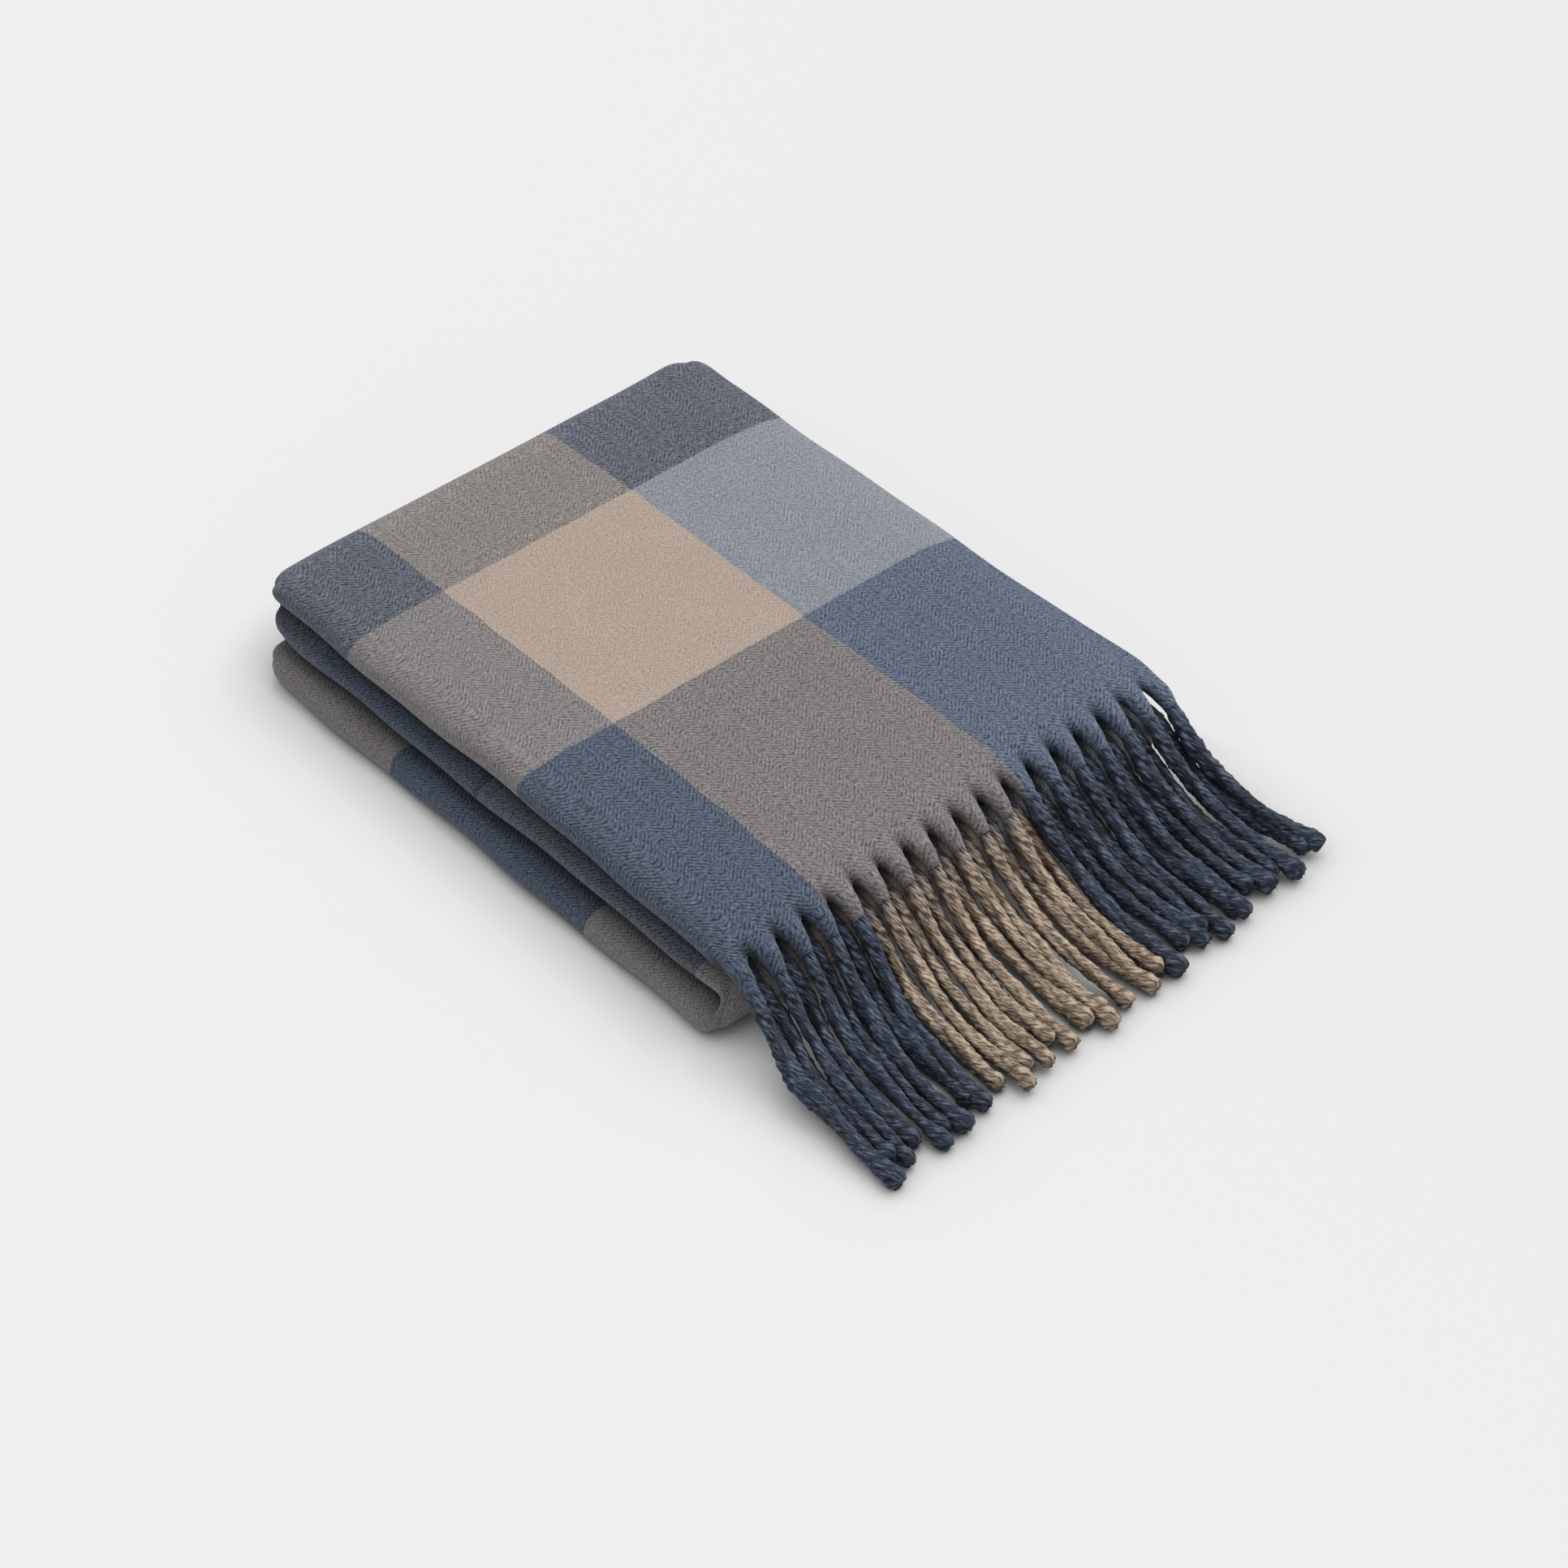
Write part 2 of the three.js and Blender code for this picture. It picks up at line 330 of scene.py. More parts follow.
def steps(length):
    return np.linspace(0, 1, max(2, round(abs(length) / FLAT_STEP)) + 1)[:, None]


def crease_tuck(crease):
    return CREASE_GAP + (BACK_TUCK if crease is BACK_CREASE else 0)


def turn_centre(crease, s, outermost):
    inward = 1 if crease is BACK_CREASE else -1
    return crease[0] + inward * (crease_tuck(crease) + crease_inset(s, outermost) + turn_reach(s, outermost))


def add_top_run(rows, s):
    """From the fringed edge back to the turn."""
    y = rows.columns.across(TOP)
    skew = -FRINGE_SKEW * y / (TOP.right - TOP.left)
    end = turn_centre(BACK_CREASE, s, 1)
    recess = np.interp(s, (-1, INNER_LEVEL, 1), (FRINGE_RECESS[1], FRINGE_RECESS[0], 0))
    edge = FRINGE_EDGE[0] + skew - recess
    fine = np.array(EDGE_ROWS)[:, None]
    x_fine = edge - fine
    x_rest = mix(x_fine[-1:], end, steps(FRINGE_EDGE[0] - EDGE_ROWS[-1] - BACK_CREASE[0])[1:])
    x = np.concatenate([x_fine, x_rest])
    v = FRINGE_EDGE[0] - x + (edge - FRINGE_EDGE[0]) * smooth((x - SKEW_FROM) / (edge - SKEW_FROM))
    y = y * (1 + FRINGE_FLARE * smooth((x - FLARE_FROM) / FLARE_OVER))
    rows.add(x, y, TOP.level(s), v, corners_of(TOP, *BACK_CORNERS))


def add_turn(rows, s, crease, outermost, upper, lower, v_start, v_crease, v_end):
    """A crosswise fold: a quarter turn from one layer to the crease, and another into the next layer."""
    at_back = crease is BACK_CREASE
    inward = 1 if at_back else -1
    reach = turn_reach(s, outermost)
    centre = turn_centre(crease, s, outermost)
    angle = np.linspace(0, math.pi, 2 * TURN_STEPS + 1)[:, None]
    layer_level = np.where(angle < math.pi / 2, upper.level(s), lower.level(s))
    bulge = FOLD_BULGE * np.clip(np.sin(2 * angle), 0, None) * (1 + s) / 2 if at_back else 0
    x = centre - inward * (reach * np.sin(angle) + bulge)
    z = crease[2] + (layer_level - crease[2]) * np.abs(np.cos(angle)) ** FOLD_POWER
    share = smooth(angle / math.pi)
    y = mix(rows.columns.across(upper), rows.columns.across(lower), share)
    if at_back:
        waist = WAIST["depth"] * np.exp(-((angle - WAIST["angle"]) / WAIST["spread"]) ** 2)
        on_left = smooth((-y - SIDE_FROM) / WAIST["over"])
        on_right = smooth((y - SIDE_FROM) / WAIST["over"])
        y = y + waist * (on_left - WAIST["right"] * on_right)
    half = angle / (math.pi / 2)
    v = np.where(half < 1, mix(v_start, v_crease, half), mix(v_crease, v_end, half - 1))
    radii = BACK_CORNERS if at_back else FRONT_CORNERS
    x_edge = upper.back if at_back else upper.front
    left = mix(upper.left, lower.left, share)
    right = mix(upper.right, lower.right, share)
    rows.add(x, y, z, v, [(x_edge, left, inward, 1, radii[0]), (x_edge, right, inward, -1, radii[1])])


def upper_rows(columns):
    """The top layer, the back fold and the back half of the middle layer."""
    rows = Rows(columns)
    s = columns.s
    add_top_run(rows, s)
    centre = turn_centre(BACK_CREASE, s, 1)
    add_turn(rows, s, BACK_CREASE, 1, TOP, MIDDLE, FRINGE_EDGE[0] - centre, BACK_CREASE_V, MIDDLE_V + centre)
    x = mix(centre, 0, steps(BACK_CREASE[0]))
    rows.add(x, columns.across(MIDDLE), MIDDLE.level(s), MIDDLE_V + x, corners_of(MIDDLE, *BACK_CORNERS))
    return rows.grid()


def lower_rows(columns):
    """The front half of the middle layer, the front fold, the bottom layer and the doubled end."""
    rows = Rows(columns)
    s = columns.s
    centre = turn_centre(FRONT_CREASE, s, -1)
    x = mix(0, centre, steps(FRONT_CREASE[0]))
    rows.add(x, columns.across(MIDDLE), MIDDLE.level(s), MIDDLE_V + x,
             corners_of(MIDDLE, *FRONT_CORNERS, back=False, front=True))
    add_turn(rows, s, FRONT_CREASE, -1, MIDDLE, BOTTOM, MIDDLE_V + centre, FRONT_CREASE_V, BOTTOM_V - centre)
    end = BOTTOM.back + DOUBLED_STEP + DOUBLED_SPREAD * (1 - abs(s))
    x = mix(centre, end, steps(2 * FRONT_CREASE[0]))
    y = columns.across(BOTTOM)
    corners = corners_of(BOTTOM, *BACK_CORNERS) + corners_of(BOTTOM, *FRONT_CORNERS, back=False, front=True)
    rows.add(x, y, BOTTOM.level(s), BOTTOM_V - x, corners)
    inward = DOUBLED_STEP * np.where(s > 0, -1, 1)
    angle = np.linspace(0, math.pi, DOUBLED_TURN_ROWS)[:, None]
    z = BOTTOM.level(s) + inward * (1 - np.cos(angle)) / 2
    v_turn = BOTTOM_V - end + DOUBLED_STEP * angle / 2
    rows.add(end - DOUBLED_STEP * np.sin(angle), y, z, v_turn, corners)
    v_last = v_turn[-1:]
    run = CLOTH_LENGTH - v_last
    t = steps(DOUBLED_RUN)
    rows.add(end + run * t, y, BOTTOM.level(s) + inward, v_last + run * t, corners)
    return rows.grid()


# ---- How soft cloth settles ----

MIDDLE_TOP = BACK_CREASE[2] + CREASE_CLEARANCE
TOP_SURFACE = TOP.level(1)
LEVEL_SLACK = 0.01

# How far the top surface sinks at each side, how near to it that starts, and how sharply it goes
SLUMP = dict(reach=46.0, back=1.6, left=2.4, right=6.5, power=2, right_power=2.4)

# How far the back fold is out of square at each side, and from which x on, over what length, that grows
BACK_SKEW = dict(size=2.0, half_width=160, start=-60, over=120)

# The hollow under the back left corner's roll
NECK = dict(depth=5.5, top=54.0, top_fade=20, bottom=17.0, bottom_fade=6, along=26.0)
SIDE_FADE = 45
FULL_CORNER = dict(x=-196.0, y=146.0, rise=3.6, reach=17.0)     # the back right corner stays plump
SURFACE_RIPPLES = ((0.55, 190, 3), (0.22, 70, 5))               # size, wavelength and seed

# Waves along the sides: their size, and of each its wavelength, lean, share and phase
SIDE_WAVE_SIZE = 0.7
SIDE_WAVES = ((173, 0.13, 1, 0), (81, -0.17, 0.7, 1))
RIGHT_WAVES = dict(share=0.7, start=120, over=38)

EDGE_SINK = 3.4             # the fringed end's surface sinks by this much
SINK_REACH = 30.0
SINK_POWER = 1.5

# The flutes between the tassels: how deep, how far back, how far in they go, and how each of these falls off
FLUTE_DEPTH = 4.6
FLUTE_RECESS = 5.0
FLUTE_REACH = 7.5
FLUTE_FALL = 1.3
DEPTH_POWER = 1.5
RECESS_POWER = 2.5
FLUTE_FADE = 4              # columns past the outermost tassels
TURN_SHARE = 0.8            # of the flutes' way down, lost where the cloth turns down at the sides
LOWEST_PLY_SHARE = 0.2      # of the flutes' depth, so that it stays above the back crease's level


def slump(x, y):
    """How far the top layer's surface sinks near its back and its sides."""
    reach = SLUMP["reach"]
    from_back = np.clip(1 - (x - TOP.back) / reach, 0, 1)
    from_left = np.clip(1 - (y - TOP.left) / reach, 0, 1)
    from_right = np.clip(1 - (TOP.right - y) / reach, 0, 1)
    at_back = SLUMP["back"] * from_back ** SLUMP["power"]
    at_left = SLUMP["left"] * from_left ** SLUMP["power"]
    return at_back + at_left + SLUMP["right"] * from_right ** SLUMP["right_power"]


def height_in_top(z):
    """0 at the bottom of the top layer and below, and 1 at its upper surface."""
    return np.clip((z - MIDDLE_TOP) / (TOP_SURFACE - MIDDLE_TOP), 0, 1)


def settle(x, y, z):
    """Moves the packet's points off its drawn lines, the same way for both pieces of cloth."""
    height = height_in_top(z)
    at_back = smooth((BACK_SKEW["start"] - x) / BACK_SKEW["over"])
    x = x - BACK_SKEW["size"] * y / BACK_SKEW["half_width"] * at_back
    hollow = smooth((NECK["top"] - z) / NECK["top_fade"])
    hollow = hollow * smooth((z - NECK["bottom"]) / NECK["bottom_fade"])
    hollow = hollow * np.exp(-((x - BACK_CREASE[0]) / NECK["along"]) ** 2)
    y = y + NECK["depth"] * hollow * smooth((-y - SIDE_FROM) / SIDE_FADE)
    from_corner = np.hypot(x - FULL_CORNER["x"], y - FULL_CORNER["y"])
    full = FULL_CORNER["rise"] * np.exp(-(from_corner / FULL_CORNER["reach"]) ** 2)
    soft = sum(size * ripple(x, y, wavelength, seed) for size, wavelength, seed in SURFACE_RIPPLES)
    z = z + height * (soft + full - slump(x, y))
    waves = sum(share * np.cos(2 * math.pi * x / wavelength + lean * z + phase)
                for wavelength, lean, share, phase in SIDE_WAVES)
    on_left = smooth((-y - SIDE_FROM) / SIDE_FADE)
    on_right = smooth((y - RIGHT_WAVES["start"]) / RIGHT_WAVES["over"])
    y = y + SIDE_WAVE_SIZE * waves * (on_left + RIGHT_WAVES["share"] * on_right)
    return x, y, z


def gather_edge(columns, x, y, z):
    """Thins the fringed end, and draws the uppermost ply together at each tassel."""
    inside = FRINGE_EDGE[0] - FRINGE_SKEW * y / (TOP.right - TOP.left) - x
    in_top = z > MIDDLE_TOP - LEVEL_SLACK
    height = height_in_top(z)
    z = np.where(in_top, z - EDGE_SINK * height * smooth(1 - inside / SINK_REACH) ** SINK_POWER, z)
    index = np.arange(x.shape[1])[None, :]
    valley = (1 + np.cos(2 * math.pi * (index - FIRST_CELL) / CELL_COLUMNS)) / 2
    last = FIRST_CELL + TASSELS * CELL_COLUMNS
    fade = smooth((index - FIRST_CELL + FLUTE_FADE) / FLUTE_FADE)
    fade = fade * smooth((last + FLUTE_FADE - index) / FLUTE_FADE)
    near = np.exp(-(np.clip(inside, 0, None) / FLUTE_REACH) ** FLUTE_FALL)
    pull = np.where(in_top, fade * near, 0)
    lowering = mix(LOWEST_PLY_SHARE, 1, height)
    out = columns.bulge
    z = z - FLUTE_DEPTH * lowering * pull * valley ** DEPTH_POWER * np.sqrt(1 - TURN_SHARE * out ** 2)
    y = y + FLUTE_DEPTH * pull * valley ** DEPTH_POWER * out
    x = x - FLUTE_RECESS * pull * valley ** RECESS_POWER
    return x, y, z


# ---- Making objects ----

def linked(name, data):
    obj = bpy.data.objects.new(name, data)
    bpy.context.scene.collection.objects.link(obj)
    return obj


def make_object(name, points, faces, uvs, material):
    mesh = bpy.data.meshes.new(name)
    mesh.from_pydata((points * MM).tolist(), [], faces)
    layer = mesh.uv_layers.new(name="cloth")
    loops = np.array([loop.vertex_index for loop in mesh.loops])
    layer.data.foreach_set("uv", (np.asarray(uvs)[loops] * MM).ravel())
    mesh.polygons.foreach_set("use_smooth", [True] * len(mesh.polygons))
    mesh.update()
    mesh.materials.append(material)
    return linked(name, mesh)


def grid_faces(row_count, column_count, first=0):
    start = first + np.arange(row_count - 1)[:, None] * column_count + np.arange(column_count - 1)[None, :]
    start = start.ravel()
    return np.stack([start, start + 1, start + 1 + column_count, start + column_count], 1).tolist()


def apply_modifier(obj, modifier):
    with bpy.context.temp_override(object=obj, active_object=obj, selected_objects=[obj]):
        bpy.ops.object.modifier_apply(modifier=modifier.name)


def thicken(obj):
    solid = obj.modifiers.new("ply", "SOLIDIFY")
    solid.thickness = CLOTH_THICKNESS * MM
    solid.offset = 0
    apply_modifier(obj, solid)


def cloth_object(name, grid, columns, material):
    x, y, z, v = grid
    u = np.broadcast_to(columns.u, x.shape)
    points = np.stack([x.ravel(), y.ravel(), z.ravel()], 1)
    uvs = np.stack([u.ravel(), v.ravel()], 1)
    obj = make_object(name, points, grid_faces(*x.shape), uvs, material)
    thicken(obj)
    return obj


# ---- Materials, with lengths in metres ----

YARN_PITCH = 0.00155        # between neighbouring yarns
TWILL_PITCH = 0.003         # between the diagonal lines of the twill
CHEVRON_WIDTH = 0.0105      # the diagonals turn back after this much of the width
STROKE_SQUEEZE = 0.42       # the pattern of strokes is squeezed along the diagonals, which makes them longer
YARN_BEND = 0.0011          # how far the yarns run off straight
RAGGED_EDGE = 0.0011        # how far a band's edge strays from one yarn to the next
WANDERING_EDGE = 0.0015     # and over a longer way

# How much each part of the weave tells, how much of it there is on light cloth, and how dark it gets
WEAVE = dict(twill=0.4, grain=0.3, strokes=2.3, fuzz=1.8)
LIGHT_CLOTH = dict(low=0.10, high=0.34, to_low=1.0, to_high=0.35)
CLOTH_CONTRAST = 0.7
DARKEST_CLOTH = 0.25

UPPER_RUN = CLOTH_WIDTH / PLIES - RIGHT_TURN_CLOTH - ROLL_CLOTH     # the uppermost ply's flat part, in mm
CELL_WIDTH = CELL_COLUMNS * UPPER_RUN / UPPER_COLUMNS * MM          # of cloth to each tassel
FIRST_VALLEY = (CLOTH_WIDTH / 2 + RIGHT_TURN_CLOTH) * MM - CELL_IN_TURN / CELL_COLUMNS * CELL_WIDTH
UPPER_PLY = (0.80, 0.18)    # the middle of the uppermost ply's u, and how far it and its turns reach

YARN_TWIST = 0.4            # how far the fibres go round for each length along
FIBRE_SQUEEZE = 0.28
YARN_RELIEF = dict(fibres=2.0, strokes=1.5)
YARN_CONTRAST = 0.75
YARN_BRIGHTNESS = 0.95
DARKEST_YARN = 0.28

AO_SAMPLES = 8


class Nodes:
    """Writes a material's nodes as calls. A value given to an input may be a number, a colour or a socket."""

    def __init__(self, name):
        self.material = bpy.data.materials.new(name)
        self.material.use_nodes = True
        self.tree = self.material.node_tree
        self.tree.nodes.clear()

    def add(self, kind, inputs=(), **settings):
        made = self.tree.nodes.new("ShaderNode" + kind)
        for key, value in settings.items():
            setattr(made, key, value)
        for key, value in dict(inputs).items():
            if isinstance(value, bpy.types.NodeSocket):
                self.tree.links.new(value, made.inputs[key])
            else:
                made.inputs[key].default_value = value
        return made

    def math(self, operation, a, b=0.0, c=0.0):
        return self.add("Math", {0: a, 1: b, 2: c}, operation=operation).outputs[0]

    def product(self, first, *others):
        for value in others:
            first = self.math("MULTIPLY", first, value)
        return first

    def weighted(self, *parts):
        """The sum of some values, each with its own weight."""
        first, *others = [self.math("MULTIPLY", value, weight) for value, weight in parts]
        for value in others:
            first = self.math("ADD", first, value)
        return first

    def wave(self, value, length):
        return self.math("SINE", self.math("MULTIPLY", value, 2 * math.pi / length))

    def range(self, value, low, high, to_low=0.0, to_high=1.0, soft=False):
        inputs = {"Value": value, "From Min": low, "From Max": high, "To Min": to_low, "To Max": to_high}
        made = self.add("MapRange", inputs, interpolation_type="SMOOTHSTEP" if soft else "LINEAR")
        return made.outputs["Result"]

    def vector(self, x, y, z=0.0):
        return self.add("CombineXYZ", {0: x, 1: y, 2: z}).outputs[0]

    def noise(self, vector, scale, detail=2.0, roughness=0.5):
        inputs = {"Vector": vector, "Scale": scale, "Detail": detail, "Roughness": roughness}
        return self.add("TexNoise", inputs).outputs["Fac"]

    def uneven(self, vector, middle, size, scale, detail=2.0, roughness=0.5):
        """Noise that stays within size of the middle."""
        noise = self.noise(vector, scale, detail, roughness)
        return self.math("MULTIPLY_ADD", noise, 2 * size, middle - size)

    def open_share(self, distance):
        return self.add("AmbientOcclusion", {"Distance": distance}, samples=AO_SAMPLES).outputs["AO"]

    def within(self, value, bands, wanted):
        """1 where a length lies in a band of the wanted yarn, and 0 elsewhere."""
        total = 0.0
        start = -CLOTH_LENGTH
        for end, yarn in bands:
            if yarn == wanted:
                after = self.math("GREATER_THAN", value, start * MM)
                before = self.math("LESS_THAN", value, end * MM)
                total = self.math("MULTIPLY_ADD", after, before, total)
            start = end
        return total

    def mix(self, factor, a, b, blend_type="MIX"):
        made = self.add("Mix", {0: factor, 6: a, 7: b}, data_type="RGBA", blend_type=blend_type)
        return made.outputs[2]

    def shaded(self, colour, factor):
        return self.mix(1.0, colour, self.vector(factor, factor, factor), "MULTIPLY")

    def finish(self, surface):
        output = self.add("OutputMaterial")
        self.tree.links.new(surface.outputs[0], output.inputs["Surface"])
        return self.material


def wool_surface(n, colour, height, distance, sheen):
    normal = n.add("Bump", {"Height": height, "Strength": 0.8, "Distance": distance}).outputs[0]
    return n.add("BsdfPrincipled", {
        "Base Color": colour, "Roughness": 0.95, "Specular IOR Level": 0.15, "Normal": normal,
        "Sheen Weight": sheen, "Sheen Roughness": 0.45, "Sheen Tint": (0.85, 0.88, 0.95, 1),
    })


def painted_occlusion_shade(n, distance, darkest, closed=0.1, clear=0.65):
    """Painted shade: darkens a colour where the surface is occluded within the distance, in crevices, between
    parts and under them.
    """
    return n.range(n.open_share(distance), closed, clear, darkest, 1.0)


def check_colour(n, flat, u, v):
    """The colour of the yarns that cross at a point, with ragged edges to the stripes and bands."""
    shift = n.math("ADD", n.uneven(flat, 0, RAGGED_EDGE, scale=620, detail=2),
                   n.uneven(flat, 0, WANDERING_EDGE, scale=45, detail=1))
    u = n.math("ADD", u, shift)
    v = n.math("ADD", v, shift)
    tan = n.within(u, WARP_STRIPES, "tan")
    blue = n.within(u, WARP_STRIPES, "blue")
    rows = {}
    for weft in ("slate", "beige", "denim"):
        cells = [(*CELL_COLOURS[warp, weft], 1) for warp in ("navy", "tan", "blue")]
        rows[weft] = n.mix(blue, n.mix(tan, cells[0], cells[1]), cells[2])
    colour = n.mix(n.within(v, WEFT_BANDS, "beige"), rows["slate"], rows["beige"])
    return n.mix(n.within(v, WEFT_BANDS, "denim"), colour, rows["denim"])


def weave_pattern(n, flat, u, v):
    """The broken twill, with the grain of the single yarns and the strokes that brushing leaves."""
    bend = n.noise(flat, scale=180, detail=2)
    u_yarn = n.math("MULTIPLY_ADD", bend, YARN_BEND, u)
    v_yarn = n.math("MULTIPLY_ADD", bend, YARN_BEND, v)
    chevron = n.math("PINGPONG", u_yarn, CHEVRON_WIDTH)
    across_twill = n.math("ADD", v_yarn, chevron)
    along_twill = n.math("MULTIPLY", n.math("SUBTRACT", v_yarn, chevron), STROKE_SQUEEZE)
    twill = n.wave(across_twill, TWILL_PITCH)
    strokes = n.uneven(n.vector(across_twill, along_twill), 0, 1, scale=560, detail=2, roughness=0.65)
    grain = n.math("MULTIPLY", n.wave(u_yarn, YARN_PITCH), n.wave(v_yarn, YARN_PITCH))
    return n.weighted((twill, WEAVE["twill"]), (grain, WEAVE["grain"]), (strokes, WEAVE["strokes"]))


def sheltered_light(n, u, v):
    """How much light the lower plies get near the fringed end."""
    from_upper = n.math("ABSOLUTE", n.math("SUBTRACT", u, UPPER_PLY[0]))
    sheltered = n.math("GREATER_THAN", from_upper, UPPER_PLY[1])
    fringed_end = n.range(v, low=0.002, high=0.02, to_low=0.8, to_high=0.0)
    return n.math("SUBTRACT", 1.0, n.math("MULTIPLY", sheltered, fringed_end))


def valley_light(n, u, v):
    """How much light the valleys between the tassels get."""
    from_valley = n.math("MULTIPLY", n.math("SUBTRACT", u, FIRST_VALLEY), 2 * math.pi / CELL_WIDTH)
    valley = n.range(n.math("COSINE", from_valley), low=0.1, high=0.9)
    near_edge = n.range(v, low=-0.003, high=0.013, to_low=0.85, to_high=0.0, soft=True)
    return n.math("SUBTRACT", 1.0, n.math("MULTIPLY", valley, near_edge))


def cloth_material():
    n = Nodes("checked_wool")
    flat = n.add("UVMap", uv_map="cloth").outputs[0]
    u, v, _ = n.add("SeparateXYZ", {0: flat}).outputs
    colour = check_colour(n, flat, u, v)
    darkness = n.range(n.add("RGBToBW", {0: colour}).outputs[0], **LIGHT_CLOTH)
    fuzz = n.uneven(flat, 0, 1, scale=640, detail=2, roughness=0.7)
    relief = n.weighted((weave_pattern(n, flat, u, v), darkness), (fuzz, WEAVE["fuzz"]))
    contrast = n.math("MULTIPLY", darkness, CLOTH_CONTRAST)
    light = n.math("MAXIMUM", n.math("MULTIPLY_ADD", relief, contrast, 1.0), DARKEST_CLOTH)
    # The factor paints shade into the colour: darker where the cloth is occluded, under the uppermost ply at
    # the fringed end and in the valleys between the tassels.
    factor = n.product(
        light,
        n.uneven(flat, 1, 0.07, scale=34, detail=3),
        painted_occlusion_shade(n, distance=0.01, darkest=0.4),
        painted_occlusion_shade(n, distance=0.04, darkest=0.35, closed=0.05, clear=0.3),
        sheltered_light(n, u, v),
        valley_light(n, u, v),
    )
    return n.finish(wool_surface(n, n.shaded(colour, factor), relief, distance=0.0004, sheen=0.22))


def yarn_material(name, lit, root, highlight):
    """Twisted fringe yarn. Its flat coordinates are the way round it and the way along it."""
    n = Nodes(name)
    flat = n.add("UVMap", uv_map="cloth").outputs[0]
    around, along, _ = n.add("SeparateXYZ", {0: flat}).outputs
    twisted = n.math("MULTIPLY_ADD", along, YARN_TWIST, around)
    squeezed = n.vector(twisted, n.math("MULTIPLY", along, FIBRE_SQUEEZE))
    fibres = n.uneven(squeezed, 0, 1, scale=760, detail=2, roughness=0.6)
    strokes = n.uneven(squeezed, 0, 1, scale=380, detail=1)
    relief = n.weighted((fibres, YARN_RELIEF["fibres"]), (strokes, YARN_RELIEF["strokes"]))
    wander = n.uneven(flat, 0, 0.01, scale=240, detail=2)
    past_root = n.range(n.math("ADD", along, wander), low=0.011, high=0.026, soft=True)
    colour = n.mix(past_root, (*root, 1), (*lit, 1))
    light = n.math("MULTIPLY_ADD", relief, YARN_CONTRAST, YARN_BRIGHTNESS)
    # The factor also paints shade into the colour where the yarn is occluded, between the tassels and in
    # their grooves.
    factor = n.product(
        n.math("MAXIMUM", light, DARKEST_YARN),
        n.uneven(flat, 1, 0.25, scale=90, detail=2),
        painted_occlusion_shade(n, distance=0.014, darkest=0.1, closed=0.22, clear=0.8),
    )
    # Painted highlight, partly lighter fibres too: the crests of the relief are lightened towards the
    # highlight colour.
    shining = n.range(relief, low=0.3, high=1.2, to_low=0.0, to_high=0.7)
    colour = n.mix(shining, n.shaded(colour, factor), (*highlight, 1))
    return n.finish(wool_surface(n, colour, relief, distance=0.0006, sheen=0.1))


# ---- Tassels ----

RING_SIDES = 8          # of a tassel's CAD solid
CURVE_SAMPLES = 400
TASSEL_SIDES = 24
TASSEL_ROWS = 110
UPPER_RADIUS = 4.3
UNDER_RADIUS = 4.4

BEND_SMOOTHING = 110    # passes that ease the CAD line's bends to what thick yarn can do
LEFT_SMOOTHING = dict(passes=300, start=120.0, over=40.0)       # more of them for the leftmost tassels
TAUTNESS = dict(share=0.4, start=90.0, over=60.0)               # which also run straighter than the CAD's
ROOT_SETTLE = dict(drop=1.4, over=40.0)     # lowers the roots, so that the cloth meets them level
UNDER_SETTLE = dict(drop=2.5, over=60.0)    # and the lower tassels' roots some more
UNDER_ROOT_STEP = (9.0, 0, -0.5)            # from where a lower tassel leaves its ply to its CAD root

# How tassels differ, each from the others, and how each is uneven along its length
RADIUS_SPREAD = (0.88, 1.14)
SWAY = dict(size=3.4, limit=1.4, start=0.2, over=0.8)
SIDE_CURL = dict(size=0.7, length=75.0, spread=12.0, phase=3.0)
RISE_CURL = dict(size=0.6, length=62.0, phase=3.0)
CURL_OVER = 50.0
BUMPS = ((97, 0.09), (51, 0.07), (23, 0.035), (13, 0.03))       # wavelengths and sizes
BUMP_SHARE = (0.4, 1)
BUMP_PHASE = 6.3
LUMP_SIZE = 0.03

# The twist: its pitch, its lobes, and the two strands that come apart between the root and the tip
TWIST_PITCH = (26, 34)
LOBE_SIZE = 0.03
LOBE_LEAD = 1.3
STRANDS = dict(pitches=6, start=0.12, over=0.2, tip=5, tip_over=10, size=0.42, power=0.8, waist=0.3)

# The two ends of a tassel
ROOT = dict(size=0.8, growth=0.2, start=4, over=16)
FLARE = dict(least=0.12, most=0.36, middle=6, over=6)
TIP_ROUND = 2.6
TIP_SMALLEST = 0.01
FRAY = dict(length=2.2, over=2.5, spread=0.5)
FLOOR_GAP = (0.15, 0.12)        # kept under a tassel, and how much more of it there is here and there


def node_centres(node):
    """The middle of each ring of a tassel's CAD solid, from its root to its tip, in millimetres."""
    points = np.array([vertex.co for vertex in frame["nodes"][node].data.vertices]) / MM
    points = np.unique(np.round(points, 3), axis=0)
    points = points[np.argsort(points[:, 0])]
    return points.reshape(-1, RING_SIDES, 3).mean(1)


def smooth_line(points, count):
    """A Catmull-Rom line through the points, evenly spaced along its length."""
    padded = np.concatenate([2 * points[:1] - points[1:2], points, 2 * points[-1:] - points[-2:-1]])
    t = np.linspace(0, len(points) - 1 - TINY, CURVE_SAMPLES)
    i = t.astype(int)
    f = (t - i)[:, None]
    p0, p1, p2, p3 = (padded[i + k] for k in range(4))
    line = 0.5 * (2 * p1 + (p2 - p0) * f + (2 * p0 - 5 * p1 + 4 * p2 - p3) * f ** 2
                  + (3 * p1 - p0 - 3 * p2 + p3) * f ** 3)
    length = np.concatenate([[0], np.cumsum(np.linalg.norm(np.diff(line, axis=0), axis=1))])
    wanted = np.linspace(0, length[-1], count)
    return np.stack([np.interp(wanted, length, line[:, k]) for k in range(3)], 1), wanted


